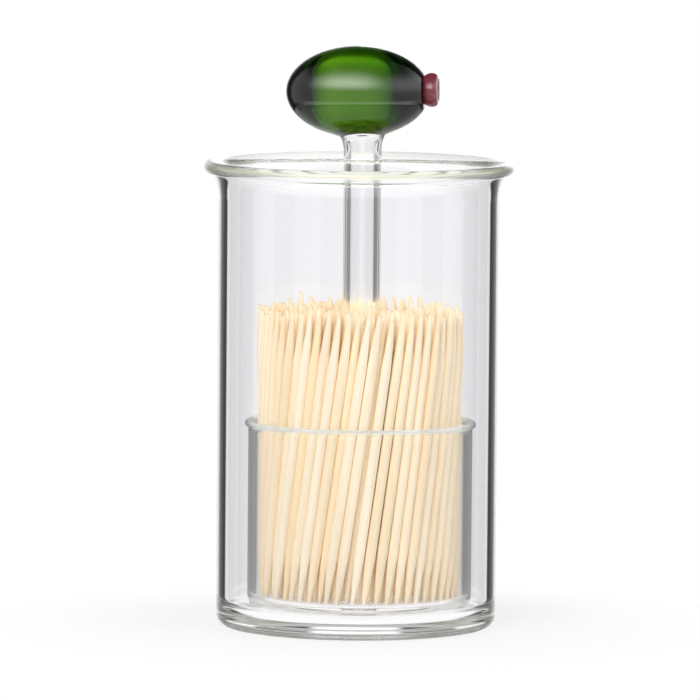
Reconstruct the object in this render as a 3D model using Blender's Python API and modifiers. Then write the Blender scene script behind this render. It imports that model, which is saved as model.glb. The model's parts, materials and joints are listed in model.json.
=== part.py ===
"""Glass toothpick holder: a tall glass, and in it a short glass cup of picks on a tube handle with an olive on top.

Metres, +Z up. The origin is the centre of the tall glass's foot. The camera side is -Y, and the red
stud of the olive points along +X. Lifting the olive raises the cup and its picks out of the tall glass.
"""

import math

import bmesh
import bpy
from mathutils import Matrix, Vector

# Tall glass, drawn from 60 mm tube
GLASS_RADIUS = 0.0300
GLASS_WALL = 0.0024
GLASS_HEIGHT = 0.1000
GLASS_FLOOR = 0.0032
GLASS_OUTER_CORNER = 0.0027
GLASS_INNER_CORNER = 0.0035
GLASS_RIM_OVERHANG = 0.00325
GLASS_RIM_BEAD = 0.00135
GLASS_INNER_FLARE = 0.0074
GLASS_OUTER_FLARE = 0.0057
FOOT_RING_WIDTH = 0.0060
PUNT_DEPTH = 0.0008

# Short cup, drawn from 48 mm tube, which leaves it this much room all round in the tall glass
CUP_SIDE_ROOM = 0.00355
CUP_WALL = 0.0018
CUP_HEIGHT = 0.0410
CUP_FLOOR = 0.0028
CUP_OUTER_CORNER = 0.0035
CUP_INNER_CORNER = 0.0015
CUP_RIM_OVERHANG = 0.00075
CUP_RIM_BEAD = 0.00065
CUP_INNER_FLARE = 0.0022
CUP_OUTER_FLARE = 0.0006

# Tube handle, 8 mm tube with a foot in the cup's floor and a flare under the olive
TUBE_RADIUS = 0.0040
TUBE_WALL = 0.0015
TUBE_FOOT_FLARE = 0.0019
TUBE_FOOT_RISE = 0.0018
TUBE_TOP_FLARE = 0.0016
TUBE_TOP_RISE = 0.0032
TUBE_COLLAR = 0.0008

# Olive and the red stud in its end, measured from the olive's middle
OLIVE_HALF_LENGTH = 0.01545
OLIVE_RADIUS = 0.00977
OLIVE_CENTRE_HEIGHT = 0.1149
OLIVE_CUT = 0.00145
OLIVE_TURN = math.radians(-6)
OLIVE_TILT = math.radians(0.6)
STUD_RADIUS = 0.00375
STUD_LENGTH = 0.0033
STUD_ROUND = 0.0014
STUD_DIMPLE = 0.0007

# The olive's middle lies this far off the tube's axis, away from the stud
OLIVE_ASIDE = 0.0011

# Toothpicks
PICK_RADIUS = 0.0011
PICK_LENGTH = 0.0625
PICK_TAPER = 0.0110
PICK_LENGTH_SPREAD = 0.0026

# The loose cup has come to rest this far off the tall glass's centre, towards the stud
CUP_ASIDE = 0.0007

# Clearances
REST_GAP = 0.0003
FUSED_GAP = 0.0001
PICK_WALL_GAP = 0.0001
PICK_TUBE_GAP = 0.0012
RING_GAP = 0.00018
LEAST_PICK_GAP = 0.0003

# How the bundle of picks stands
TWIST = math.radians(24)
TOP_SPREAD_SHARE = 1.03
TOP_DRIFT = 0.00025
RING_SPACING_SHARE = 0.93
JITTER_SHARE = 0.22
MOST_FREE_PICKS = 49
GOLDEN_SHARE = 0.618034

# Facets
GLASS_SIDES = 40
OLIVE_SIDES = 28
TUBE_SIDES = 24
FREE_PICK_SIDES = 8
RING_PICK_SIDES = 4
CORNER_STEPS = 3
FLARE_STEPS = 4
BEAD_STEPS = 5
OLIVE_STEPS = 12
MERGE = 0.00001

# Places worked out from the sizes
GLASS_INSIDE = GLASS_RADIUS - GLASS_WALL
GLASS_RIM_RADIUS = GLASS_RADIUS + GLASS_RIM_OVERHANG
CUP_RADIUS = GLASS_INSIDE - CUP_SIDE_ROOM
CUP_INSIDE = CUP_RADIUS - CUP_WALL
CUP_RIM_RADIUS = CUP_RADIUS + CUP_RIM_OVERHANG
CUP_BASE = GLASS_FLOOR + REST_GAP
CUP_FLOOR_TOP = CUP_BASE + CUP_FLOOR
CUP_TOP = CUP_BASE + CUP_HEIGHT
TUBE_BORE = TUBE_RADIUS - TUBE_WALL
TUBE_FOOT_RADIUS = TUBE_RADIUS + TUBE_FOOT_FLARE
PICK_BASE = CUP_FLOOR_TOP + REST_GAP
FREE_RING_RADIUS = CUP_INSIDE - PICK_WALL_GAP - PICK_RADIUS
INMOST_RING_RADIUS = TUBE_RADIUS + PICK_TUBE_GAP + PICK_RADIUS
RING_PITCH = 2 * PICK_RADIUS + RING_GAP


def clear_scene():
    """Removes whatever the scene starts with."""
    for obj in list(bpy.data.objects):
        bpy.data.objects.remove(obj)


def collection_named(name):
    """A new collection under the scene's own."""
    made = bpy.data.collections.new(name)
    bpy.context.scene.collection.children.link(made)
    return made


def material_named(name, colour, roughness, transmission=0.0):
    """A Principled material in one colour."""
    made = bpy.data.materials.new(name)
    made.use_nodes = True
    made.diffuse_color = colour
    shader = made.node_tree.nodes["Principled BSDF"]
    shader.inputs["Base Color"].default_value = colour
    shader.inputs["Roughness"].default_value = roughness
    shader.inputs["Metallic"].default_value = 0.0
    shader.inputs["Transmission Weight"].default_value = transmission
    return made


def arc(centre_r, centre_z, reach_r, reach_z, start, end, steps):
    """Points of an elliptical arc in a turned profile, from start to end in degrees."""
    angles = [math.radians(start + (end - start) * i / steps) for i in range(steps + 1)]
    return [(centre_r + reach_r * math.cos(a), centre_z + reach_z * math.sin(a)) for a in angles]


def run_together(*runs):
    """Joins runs of profile points, leaving out a point that repeats the one before it."""
    points = []
    for run in runs:
        for point in run:
            if not points or math.dist(point, points[-1]) > MERGE:
                points.append(point)
    return points


def turned(name, profile, sides, collection, material, closed=False):
    """A solid of revolution about Z: the profile's outer side runs down, and a closed one is a ring."""
    edges = [(i, i + 1) for i in range(len(profile) - 1)]
    if closed:
        edges.append((len(profile) - 1, 0))
    mesh = bpy.data.meshes.new(name)
    mesh.from_pydata([(r, 0, z) for r, z in profile], edges, [])
    obj = bpy.data.objects.new(name, mesh)
    collection.objects.link(obj)
    mesh.materials.append(material)
    screw = obj.modifiers.new("Turn", "SCREW")
    screw.steps = sides
    screw.render_steps = sides
    screw.use_merge_vertices = True
    screw.merge_threshold = MERGE
    screw.use_smooth_shade = True
    return obj


def evaluated_mesh(obj):
    """A plain mesh of the object with its modifiers applied."""
    bpy.context.view_layer.update()
    graph = bpy.context.evaluated_depsgraph_get()
    return bpy.data.meshes.new_from_object(obj.evaluated_get(graph))


def set_on(carrier, obj, placing=Matrix()):
    """Parents an object to the empty that carries it and places it there."""
    obj.parent = carrier
    obj.matrix_basis = placing
    return obj


def lip(inside, outside, rim_radius, bead, top, inner_flare, outer_flare):
    """Profile of a flared lip with a round bead: up the inner wall, over the rim and down to the outer wall."""
    bead_r = rim_radius - bead
    under_bead = top - 2 * bead
    inner = arc(bead_r, top - inner_flare, bead_r - inside, inner_flare, 180, 90, FLARE_STEPS)
    edge = arc(bead_r, top - bead, bead, bead, 90, -90, BEAD_STEPS)
    outer = arc(bead_r, under_bead - outer_flare, bead_r - outside, outer_flare, 90, 180, FLARE_STEPS)
    return run_together(inner, edge, outer)


def make_tall_glass(collection, material):
    """The tall glass: a flat-floored tumbler with a rolled lip, standing on a ring round a shallow punt."""
    inner_corner = arc(
        GLASS_INSIDE - GLASS_INNER_CORNER,
        GLASS_FLOOR + GLASS_INNER_CORNER,
        GLASS_INNER_CORNER,
        GLASS_INNER_CORNER,
        -90,
        0,
        CORNER_STEPS,
    )
    rim = lip(
        GLASS_INSIDE,
        GLASS_RADIUS,
        GLASS_RIM_RADIUS,
        GLASS_RIM_BEAD,
        GLASS_HEIGHT,
        GLASS_INNER_FLARE,
        GLASS_OUTER_FLARE,
    )
    outer_corner = arc(
        GLASS_RADIUS - GLASS_OUTER_CORNER,
        GLASS_OUTER_CORNER,
        GLASS_OUTER_CORNER,
        GLASS_OUTER_CORNER,
        0,
        -90,
        CORNER_STEPS,
    )
    punt = arc(0, 0, GLASS_RADIUS - GLASS_OUTER_CORNER - FOOT_RING_WIDTH, PUNT_DEPTH, 0, 90, CORNER_STEPS)
    profile = run_together([(0, GLASS_FLOOR)], inner_corner, rim, outer_corner, punt)
    return turned("outer_glass", profile, GLASS_SIDES, collection, material)


def make_cup_rest(collection):
    """The empty that carries the cup and all that lifts with it. The lift runs up its Z axis."""
    rest = bpy.data.objects.new("cup_rest", None)
    collection.objects.link(rest)
    rest.location = (CUP_ASIDE, 0, 0)
    return rest


def make_cup(rest, collection, material):
    """The short cup that lifts out. The tube's foot fills the hole in its floor."""
    hole = TUBE_FOOT_RADIUS + FUSED_GAP
    inner_corner = arc(
        CUP_INSIDE - CUP_INNER_CORNER,
        CUP_FLOOR_TOP + CUP_INNER_CORNER,
        CUP_INNER_CORNER,
        CUP_INNER_CORNER,
        -90,
        0,
        CORNER_STEPS,
    )
    rim = lip(
        CUP_INSIDE,
        CUP_RADIUS,
        CUP_RIM_RADIUS,
        CUP_RIM_BEAD,
        CUP_TOP,
        CUP_INNER_FLARE,
        CUP_OUTER_FLARE,
    )
    outer_corner = arc(
        CUP_RADIUS - CUP_OUTER_CORNER,
        CUP_BASE + CUP_OUTER_CORNER,
        CUP_OUTER_CORNER,
        CUP_OUTER_CORNER,
        0,
        -90,
        CORNER_STEPS,
    )
    profile = run_together([(hole, CUP_FLOOR_TOP)], inner_corner, rim, outer_corner, [(hole, CUP_BASE)])
    return set_on(rest, turned("inner_cup", profile, GLASS_SIDES, collection, material, closed=True))


def olive_profile(grown=0.0):
    """The olive's outline about its long axis: an ellipse from its cut end to its round one, grown by a gap."""
    reach = OLIVE_HALF_LENGTH + grown
    cut = reach - OLIVE_CUT
    start = math.degrees(math.asin(cut / reach))
    return [(0, cut)] + arc(0, 0, OLIVE_RADIUS + grown, reach, start, -90, OLIVE_STEPS)


def olive_placing():
    """The olive's frame: its own Z lies almost level and points to the stud."""
    middle = Matrix.Translation((-OLIVE_ASIDE, 0, OLIVE_CENTRE_HEIGHT))
    tilt = Matrix.Rotation(math.radians(90) - OLIVE_TILT, 4, "Y")
    return middle @ Matrix.Rotation(OLIVE_TURN, 4, "Z") @ tilt


def make_olive(rest, collection, material):
    """The solid green glass olive."""
    olive = turned("olive", olive_profile(), OLIVE_SIDES, collection, material)
    return set_on(rest, olive, olive_placing())


def make_stud(rest, collection, material):
    """The red stud, a round-edged disc with a dimpled face, on the olive's cut end."""
    back = OLIVE_HALF_LENGTH - OLIVE_CUT + FUSED_GAP
    front = back + STUD_LENGTH
    flat = STUD_RADIUS - STUD_ROUND
    dimple = arc(0, front, flat, STUD_DIMPLE, -90, 0, CORNER_STEPS)
    front_edge = arc(flat, front - STUD_ROUND, STUD_ROUND, STUD_ROUND, 90, 0, CORNER_STEPS)
    back_edge = arc(flat, back + STUD_ROUND, STUD_ROUND, STUD_ROUND, 0, -90, CORNER_STEPS)
    profile = run_together(dimple, front_edge, back_edge, [(0, back)])
    stud = turned("pimento_stud", profile, TUBE_SIDES, collection, material)
    return set_on(rest, stud, olive_placing())


def make_tube(rest, collection, cutters, material):
    """The tube handle: its foot fills the hole in the cup, and its flared top is cut to the olive's underside."""
    olive_under = OLIVE_CENTRE_HEIGHT - OLIVE_RADIUS
    collar = TUBE_RADIUS + TUBE_TOP_FLARE
    collar_base = olive_under - TUBE_COLLAR + REST_GAP
    top = OLIVE_CENTRE_HEIGHT - OLIVE_RADIUS / 2
    foot = TUBE_FOOT_RADIUS
    top_flare = arc(collar, collar_base - TUBE_TOP_RISE, TUBE_TOP_FLARE, TUBE_TOP_RISE, 90, 180, FLARE_STEPS)
    foot_flare = arc(foot, CUP_FLOOR_TOP + TUBE_FOOT_RISE, TUBE_FOOT_FLARE, TUBE_FOOT_RISE, 180, 270, FLARE_STEPS)
    profile = run_together(
        [(TUBE_BORE, top), (collar, top)],
        top_flare,
        foot_flare,
        [(foot, CUP_BASE), (TUBE_BORE, CUP_BASE)],
    )
    tube = set_on(rest, turned("handle_tube", profile, TUBE_SIDES, collection, material, closed=True))
    cutter = turned("olive_cutter", olive_profile(FUSED_GAP), OLIVE_SIDES, cutters, material)
    set_on(rest, cutter, olive_placing())
    hide_helper(cutter)
    cut = tube.modifiers.new("Cut to the olive", "BOOLEAN")
    cut.operation = "DIFFERENCE"
    cut.solver = "EXACT"
    cut.object = cutter
    return tube


def hide_helper(obj):
    """Marks a cutter or a joined-in piece as a helper, which is no part of the model."""
    obj.hide_render = True
    obj.display_type = "WIRE"


def fraction(number):
    """What is left of a number after its whole part."""
    return number - math.floor(number)


def scatter(index, ring):
    """A share from 0 to 1 that looks random but is the same each time."""
    return fraction(GOLDEN_SHARE * (index + 1) * (ring + 2) + fraction(GOLDEN_SHARE * ring * ring))


def pick_profile(length):
    """A pick's outline: a straight shank, pointed at both ends."""
    return [(0, length), (PICK_RADIUS, length - PICK_TAPER), (PICK_RADIUS, PICK_TAPER), (0, 0)]


def pick_placing(radius, angle):
    """Where a pick stands. The whole bundle is one straight-line map from foot to top: a twist, a small
    spread and a drift, so that no two picks cross. Its X lies along the ring."""
    foot = Vector((radius * math.cos(angle), radius * math.sin(angle), PICK_BASE))
    top_radius = radius * TOP_SPREAD_SHARE
    top_angle = angle + TWIST
    top = Vector((top_radius * math.cos(top_angle), top_radius * math.sin(top_angle), PICK_BASE + PICK_LENGTH))
    top.x -= TOP_DRIFT
    up = (top - foot).normalized()
    along = Vector((-math.sin(angle), math.cos(angle), 0))
    along = (along - up * along.dot(up)).normalized()
    turn = Matrix((along, up.cross(along), up)).transposed().to_4x4()
    return Matrix.Translation(foot) @ turn


def pick_length(index, ring):
    """Picks differ a little in length."""
    return PICK_LENGTH + PICK_LENGTH_SPREAD * (scatter(index, ring) - 1 / 2)


def make_free_picks(rest, collection, material):
    """The outermost ring, each pick a piece of its own with an even gap and a little jitter."""
    fits = int(math.tau * FREE_RING_RADIUS * math.cos(TWIST / 2) / (2 * PICK_RADIUS + LEAST_PICK_GAP))
    count = min(MOST_FREE_PICKS, fits)
    gap = math.tau * FREE_RING_RADIUS / count - 2 * PICK_RADIUS
    picks = []
    for i in range(count):
        jitter = (scatter(i, 1) - 1 / 2) * JITTER_SHARE * gap / FREE_RING_RADIUS
        name = f"pick_{i + 1:02d}"
        pick = turned(name, pick_profile(pick_length(i, 0)), FREE_PICK_SIDES, collection, material)
        picks.append(set_on(rest, pick, pick_placing(FREE_RING_RADIUS, math.tau * i / count + jitter)))
    return picks


def joined_picks(name, radius, ring, count, first, collection, material):
    """Every second pick of a ring as one mesh, so that neighbours, which touch, lie in two meshes."""
    pattern = turned(name + "_pattern", pick_profile(PICK_LENGTH), RING_PICK_SIDES, collection, material)
    shank = evaluated_mesh(pattern)
    bpy.data.objects.remove(pattern)
    made = bmesh.new()
    for i in range(first, count, 2):
        before = len(made.verts)
        made.from_mesh(shank)
        made.verts.ensure_lookup_table()
        angle = math.tau * (i + scatter(ring, 0)) / count
        stretch = Matrix.Diagonal((1, 1, pick_length(i, ring) / PICK_LENGTH, 1))
        bmesh.ops.transform(made, matrix=pick_placing(radius, angle) @ stretch, verts=made.verts[before:])
    mesh = bpy.data.meshes.new(name)
    made.to_mesh(mesh)
    made.free()
    mesh.materials.append(material)
    obj = bpy.data.objects.new(name, mesh)
    collection.objects.link(obj)
    return obj


def make_pick_rings(rest, collection, cutters, material):
    """The inner picks, a joined ring to a node: the picks of a ring touch, and a union makes them one solid."""
    rings = int((FREE_RING_RADIUS - INMOST_RING_RADIUS) / RING_PITCH)
    pitch = (FREE_RING_RADIUS - INMOST_RING_RADIUS) / rings
    for ring in range(1, rings + 1):
        radius = FREE_RING_RADIUS - pitch * ring
        count = 2 * math.ceil(math.pi * radius / (2 * PICK_RADIUS * RING_SPACING_SHARE))
        name = f"picks_ring_{ring}"
        even = set_on(rest, joined_picks(name, radius, ring, count, 0, collection, material))
        odd = set_on(rest, joined_picks(name + "_others", radius, ring, count, 1, cutters, material))
        hide_helper(odd)
        union = even.modifiers.new("Join the picks", "BOOLEAN")
        union.operation = "UNION"
        union.solver = "EXACT"
        union.object = odd


def main():
    """Makes the whole holder."""
    clear_scene()
    parts = collection_named("Glass toothpick holder")
    cutters = collection_named("Cutters")
    clear_glass = material_named("clear glass", (0.93, 0.95, 0.95, 1), 0.0, 1.0)
    green_glass = material_named("green glass", (0.10, 0.36, 0.04, 1), 0.0, 1.0)
    red_glass = material_named("red glass", (0.45, 0.04, 0.09, 1), 0.05, 0.6)
    pale_wood = material_named("pale wood", (0.93, 0.78, 0.52, 1), 0.6)
    make_tall_glass(parts, clear_glass)
    rest = make_cup_rest(parts)
    make_cup(rest, parts, clear_glass)
    make_tube(rest, parts, cutters, clear_glass)
    make_olive(rest, parts, green_glass)
    make_stud(rest, parts, red_glass)
    make_free_picks(rest, parts, pale_wood)
    make_pick_rings(rest, parts, cutters, pale_wood)


main()
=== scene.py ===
# %% [markdown]
# Glass toothpick holder
#
# A tall clear glass holds a short clear cup full of toothpicks. A clear tube rises from the cup's floor to a
# green glass olive with a red stud in its end. Lifting the olive lifts the cup and the toothpicks.
#
# This lesson dresses the working model: it loads the solids that move, puts a fine surface over each one, and
# gives every surface a glass or wood made of nodes. The first cell loads the solids, with a helper that reads the
# box of each one.

# %% Load the frame
import json
import math

import bmesh
import bpy
import numpy as np
from mathutils import Matrix, Quaternion, Vector


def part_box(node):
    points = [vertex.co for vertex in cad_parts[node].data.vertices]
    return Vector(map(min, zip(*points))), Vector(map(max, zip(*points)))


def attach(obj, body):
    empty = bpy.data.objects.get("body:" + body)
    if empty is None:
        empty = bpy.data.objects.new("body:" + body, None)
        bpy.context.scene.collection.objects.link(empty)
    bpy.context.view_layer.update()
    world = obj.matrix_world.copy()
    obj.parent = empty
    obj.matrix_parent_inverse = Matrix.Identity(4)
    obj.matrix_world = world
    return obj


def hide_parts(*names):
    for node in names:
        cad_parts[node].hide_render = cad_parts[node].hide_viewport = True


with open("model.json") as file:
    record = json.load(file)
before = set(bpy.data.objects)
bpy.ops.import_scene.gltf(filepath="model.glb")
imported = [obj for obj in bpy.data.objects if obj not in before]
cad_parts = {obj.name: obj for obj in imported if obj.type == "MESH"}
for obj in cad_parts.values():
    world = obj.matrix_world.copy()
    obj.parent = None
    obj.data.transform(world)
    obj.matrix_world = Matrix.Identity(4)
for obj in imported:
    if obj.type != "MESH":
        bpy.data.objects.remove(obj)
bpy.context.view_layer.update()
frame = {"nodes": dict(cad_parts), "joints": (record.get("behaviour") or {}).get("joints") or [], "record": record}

# %% [markdown]
# The camera
#
# The flat ellipses of the lip, the cup and the foot give the camera away. The lip is seen from 4 degrees above and
# the foot from 7, so the camera stands 2 metres off with a very long lens. It tips by half a degree, because the
# glass leans by that much in the picture. It could aim at the glass's middle and slide its frame by a lens shift.
# Aiming it a few millimetres lower and to the left frames the same picture with no shift.

# %% Place the camera
CAMERA_DISTANCE = 2.0
CAMERA_ELEVATION = math.radians(5.0)
CAMERA_ROLL = math.radians(0.46)
CAMERA_PIVOT = Vector((0, 0, 0.0628))
CAMERA_AIM = Vector((-0.00167, 0, 0.05939))
CAMERA_LENS = 480.0
CAMERA_SENSOR = 36.0
CAMERA_CLIP_RATIO = 100


def place_camera():
    """Stands the camera back from its pivot, turns it to its aim and rolls it about its own axis."""
    camera = bpy.data.objects.new("camera", bpy.data.cameras.new("camera"))
    bpy.context.scene.collection.objects.link(camera)
    camera.data.lens = CAMERA_LENS
    camera.data.sensor_width = CAMERA_SENSOR
    camera.data.clip_start = CAMERA_DISTANCE / CAMERA_CLIP_RATIO
    camera.data.clip_end = CAMERA_DISTANCE * CAMERA_CLIP_RATIO
    back = Vector((0, -math.cos(CAMERA_ELEVATION), math.sin(CAMERA_ELEVATION)))
    camera.location = CAMERA_PIVOT + back * CAMERA_DISTANCE
    look = (CAMERA_AIM - camera.location).to_track_quat("-Z", "Y")
    camera.rotation_mode = "QUATERNION"
    camera.rotation_quaternion = look @ Quaternion((0, 0, 1), CAMERA_ROLL)
    bpy.context.scene.camera = camera
    print("The camera stands at", [round(v, 3) for v in camera.location])


place_camera()

# %% [markdown]
# A short way to wire nodes
#
# Every finish below is a small tree of nodes. One helper adds a node and fills its inputs: a plain value is set on
# the socket, and another node's output is linked to it. The others build on it, for sums, mixes and smooth steps.


# %% Wire nodes
def add_node(tree, kind, inputs=None, **settings):
    """Adds a node of a kind, with settings on the node and values or links on its inputs."""
    node = tree.nodes.new(kind)
    for name, value in settings.items():
        setattr(node, name, value)
    for socket, value in (inputs or {}).items():
        if isinstance(value, bpy.types.NodeSocket):
            tree.links.new(value, node.inputs[socket])
        else:
            node.inputs[socket].default_value = value
    return node


def math_node(tree, operation, *values):
    """The output of a Math node."""
    return add_node(tree, "ShaderNodeMath", dict(enumerate(values)), operation=operation).outputs[0]


def mix_colours(tree, share, first, second):
    """The output of a colour mix: the first colour where share is 0 and the second where it is 1."""
    return add_node(tree, "ShaderNodeMix", {0: share, 6: first, 7: second}, data_type="RGBA").outputs[2]


def ramp_node(tree, share, stops):
    """The colour output of a Color Ramp with (place, colour) stops."""
    ramp = add_node(tree, "ShaderNodeValToRGB", {"Fac": share})
    elements = ramp.color_ramp.elements
    while len(elements) < len(stops):
        elements.new(0.5)
    for element, (place, colour) in zip(elements, stops):
        element.position = place
        element.color = (*colour, 1)
    return ramp.outputs["Color"]


def smooth_step(tree, value, low, high):
    """Rises smoothly from 0 at low to 1 at high."""
    inputs = {0: value, 1: low, 2: high}
    return add_node(tree, "ShaderNodeMapRange", inputs, interpolation_type="SMOOTHSTEP").outputs[0]


def mix_levels(tree, share, first, second):
    """The first level where share is 0 and the second where it is 1."""
    return add_node(tree, "ShaderNodeMapRange", {0: share, 3: first, 4: second}).outputs[0]


def multiply(tree, *values):
    """The product of several values."""
    result = values[0]
    for value in values[1:]:
        result = math_node(tree, "MULTIPLY", result, value)
    return result


def object_place(tree):
    """The place on the piece, in metres from its origin, which is the holder's own."""
    return add_node(tree, "ShaderNodeTexCoord").outputs["Object"]


def object_height(tree):
    """The height on the piece, in metres above the foot."""
    return add_node(tree, "ShaderNodeSeparateXYZ", {0: object_place(tree)}).outputs[2]


print("Node helpers are ready")

# %% [markdown]
# The light
#
# Clear glass on white is a bright-field picture: the white behind it shines straight through, and only the edges
# are dark, because light that was reflected inside a wall comes from the dark sides of the room. Dark cards left
# and right of the glass would do that for one camera. Here the world itself does it. It tells light apart by how
# often it was let through, reflected or scattered on its way:
#
# - The eye sees plain white behind the glass.
# - Light reflected inside the glass sees dark stretches between eight bright ones, one for each eighth of a turn,
#   so the edges are drawn alike from all those sides. Above them the sky is brighter.
# - Light that only went through sees nearly white, with the same eight stripes.
# - Light reflected off the outside sees a soft box in front, which gives the olive its pale band, a weaker panel to
#   the right of it, a bright table in front, a dark room behind and a dim ceiling.
# - Light scattered by the wood sees a plain level. It grows with the layers passed, to make up for what they took.

# %% Light the scene
WHITE = (1.0, 1.0, 1.0, 1)
ROOM_LEVEL = 1.0
AT_LEAST_ONCE = 0.5
MORE_THAN_ONCE = 1.5
DEEP_LAYERS = 2.5


def heights(*degrees):
    """The upward parts of ways that rise by some degrees."""
    return tuple(math.sin(math.radians(angle)) for angle in degrees)


def turns(*degrees):
    """Angles in radians."""
    return tuple(math.radians(angle) for angle in degrees)


# Light that went through the glass.
THROUGH_HIGH = 0.97
THROUGH_LOW = 0.87
THROUGH_POWER = 8.0
THROUGH_LIFT = 1.4
LIFT_RISE = (0.02, 0.35)
SOLID_LEVEL = 0.35

# Light reflected inside the glass.
STRIPES = 8
STRIPE_SHARES = (-0.35, 0.15)
BROAD_SHARES = (-0.2, 1.0)
DARK_LEVEL = 0.045
SKY_LEVEL = 0.5
SKY_RISE = heights(7.5, 12)
DEEP_DARK_LEVEL = 0.2
DEEP_LIGHT_LEVEL = 0.52
DEEP_SKY_RISE = heights(8, 15)
OVERHEAD_LEVEL = 0.9
OVERHEAD_RISE = heights(38, 50)
TABLE_FALL = heights(16, 28)

# Light scattered by the wood.
FILL_LEVEL = 0.55
FILL_GAIN = 0.11
AGAIN_GAIN = 0.3

# Light reflected off the outside.
SIDE_LEVEL = 1.05
BEHIND_LEVEL = 0.1
BEHIND_TURN = turns(110, 125)
BACKDROP_TURN = turns(140, 168)
BACKDROP_HEIGHT = (0.45, 0.2)
UNDER_FALL = (0.98, 0.85)
TABLE_LEVEL = 2.7
TABLE_SIDE_LEVEL = 0.4
TABLE_TURN = turns(110, 60)
TABLE_EDGE = (0.36, 0.44)
CEILING_LEVEL = 0.14
CEILING_RISE = (0.45, 0.8)
SOFT_BOX_LEVEL = 8.0
SOFT_BOX_LEFT = turns(-80, -20)
SOFT_BOX_RIGHT = turns(32, -14)
SOFT_BOX_LOW = (0.03, 0.40)
SOFT_BOX_HIGH = (0.95, 0.36)
PANEL_LEVEL = 1.3
PANEL_TURN = turns(12, 42)
PANEL_HEIGHT = (-0.15, 0.3)


def outer_levels(tree, side, up, down):
    """What the outside of the glass reflects: a soft box and a panel in front, a bright table and backdrop, a dim
    ceiling and a dark room behind."""
    turn = math_node(tree, "ABSOLUTE", side)
    under = smooth_step(tree, down, *UNDER_FALL)
    upright = smooth_step(tree, math_node(tree, "ABSOLUTE", up), *BACKDROP_HEIGHT)
    backdrop = multiply(tree, smooth_step(tree, turn, *BACKDROP_TURN), upright)
    behind = math_node(tree, "SUBTRACT", smooth_step(tree, turn, *BEHIND_TURN), backdrop)
    behind = multiply(tree, behind, under)
    beneath = math_node(tree, "SUBTRACT", 1.0, under)
    before = math_node(tree, "MAXIMUM", smooth_step(tree, turn, *TABLE_TURN), beneath)
    table = mix_levels(tree, before, TABLE_SIDE_LEVEL, TABLE_LEVEL)
    room = mix_levels(tree, smooth_step(tree, down, *TABLE_EDGE), SIDE_LEVEL, table)
    room = mix_levels(tree, behind, room, BEHIND_LEVEL)
    room = multiply(tree, room, mix_levels(tree, smooth_step(tree, up, *CEILING_RISE), 1.0, CEILING_LEVEL))
    across = multiply(tree, smooth_step(tree, side, *SOFT_BOX_LEFT), smooth_step(tree, side, *SOFT_BOX_RIGHT))
    top = smooth_step(tree, up, *SOFT_BOX_HIGH)
    box = multiply(tree, across, smooth_step(tree, up, *SOFT_BOX_LOW), top)
    panel = multiply(tree, smooth_step(tree, side, *PANEL_TURN), smooth_step(tree, up, *PANEL_HEIGHT))
    panel = multiply(tree, panel, math_node(tree, "SUBTRACT", 1.0, behind), top)
    room = math_node(tree, "MULTIPLY_ADD", panel, PANEL_LEVEL, room)
    return math_node(tree, "MULTIPLY_ADD", box, SOFT_BOX_LEVEL, room)


def inner_levels(tree, up, wave, slow_wave, once, deep, table):
    """What light reflected inside the glass sees: stripes near the surface, and broader and softer ones deep in the
    glass, with the sky above and the table below."""
    low = math_node(tree, "SUBTRACT", 1.0, smooth_step(tree, up, *SKY_RISE))
    stripe = smooth_step(tree, wave, *STRIPE_SHARES)
    dark = mix_levels(tree, low, SKY_LEVEL, DARK_LEVEL)
    near_wall = mix_levels(tree, multiply(tree, stripe, low, once), dark, ROOM_LEVEL)
    broad = smooth_step(tree, slow_wave, *BROAD_SHARES)
    far_wall = mix_levels(tree, multiply(tree, broad, low), DEEP_DARK_LEVEL, DEEP_LIGHT_LEVEL)
    far_wall = mix_levels(tree, smooth_step(tree, up, *DEEP_SKY_RISE), far_wall, OVERHEAD_LEVEL)
    inner = mix_levels(tree, table, mix_levels(tree, deep, near_wall, far_wall), ROOM_LEVEL)
    return mix_levels(tree, smooth_step(tree, up, *OVERHEAD_RISE), inner, OVERHEAD_LEVEL)


def through_levels(tree, up, wave, deep, table):
    """What light that only went through the glass sees. Few layers passed means solid glass or one wall, and more
    means the thin walls of the hollow pieces."""
    fade = math_node(tree, "POWER", math_node(tree, "MULTIPLY_ADD", wave, 0.5, 0.5), THROUGH_POWER)
    lift = math_node(tree, "MULTIPLY_ADD", smooth_step(tree, up, *LIFT_RISE), THROUGH_LIFT, 1.0)
    thin = multiply(tree, mix_levels(tree, fade, THROUGH_LOW, THROUGH_HIGH), lift)
    solid = mix_levels(tree, smooth_step(tree, wave, *STRIPE_SHARES), SOLID_LEVEL, ROOM_LEVEL)
    return mix_levels(tree, table, mix_levels(tree, deep, solid, thin), ROOM_LEVEL)


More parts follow.
